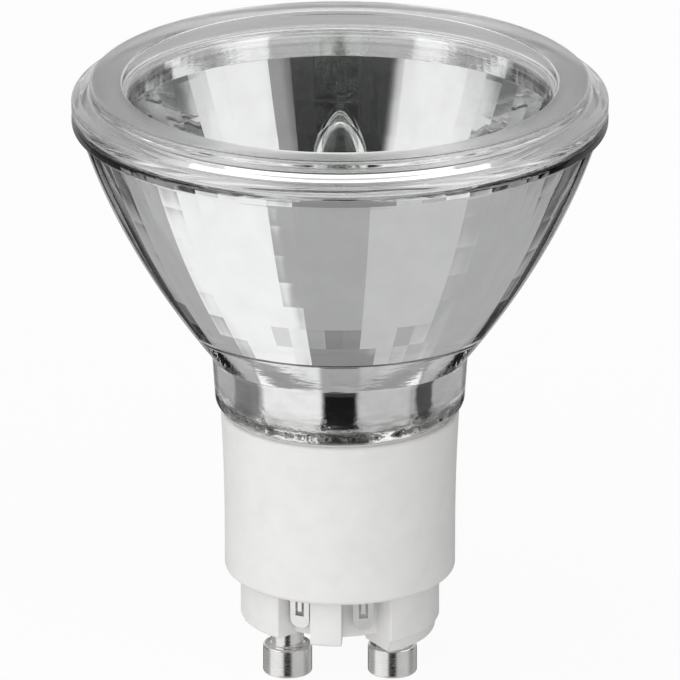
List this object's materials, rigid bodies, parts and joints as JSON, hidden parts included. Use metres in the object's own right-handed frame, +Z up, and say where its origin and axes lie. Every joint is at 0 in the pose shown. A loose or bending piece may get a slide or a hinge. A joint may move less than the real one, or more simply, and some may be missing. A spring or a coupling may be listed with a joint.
{
  "type": "metal halide reflector lamp",
  "caption": "Reflector lamp: a faceted glass reflector with a clear stepped front glass, a quartz burner inside and a keyed white ceramic base with twist-lock contact pins.",
  "frame": {"origin": "on the lamp's axis, level with the free ends of the contact pins", "axes": "+Z up the axis from the pins to the front glass; the pins stand along X; the picture looks along +Y"},
  "size_m": [0.0502, 0.0502, 0.0597],
  "materials": {
    "front_glass": "clear pressed glass",
    "reflector_glass": "clear pressed glass, smooth outside, mirror coated facets inside",
    "base_ceramic": "matt white ceramic",
    "nickel": "turned, nickel plated",
    "tag_metal": "bright plated strip",
    "seal_metal": "bright foil",
    "cement": "rough cement",
    "quartz": "clear quartz",
    "arc_ceramic": "translucent alumina",
    "electrode_metal": "drawn rod",
    "frit": "fused seal",
    "lead_metal": "drawn wire",
    "foil_metal": "rolled foil"
  },
  "bodies": {
    "root": {"front_glass": "front_glass", "front_seal": "seal_metal", "reflector": "reflector_glass", "base_cement": "cement", "ceramic_base": "base_ceramic", "left_contact_pin": "nickel", "right_contact_pin": "nickel", "left_crimp_tag": "tag_metal", "right_crimp_tag": "tag_metal", "burner_cement": "cement", "quartz_bulb": "quartz", "arc_tube": "arc_ceramic", "upper_electrode": "electrode_metal", "lower_electrode": "electrode_metal", "upper_frit": "frit", "lower_frit": "frit", "return_lead": "lead_metal", "short_lead": "lead_metal", "left_foil": "foil_metal", "right_foil": "foil_metal", "left_lead_wire": "lead_metal", "right_lead_wire": "lead_metal"}
  },
  "joints": []
}
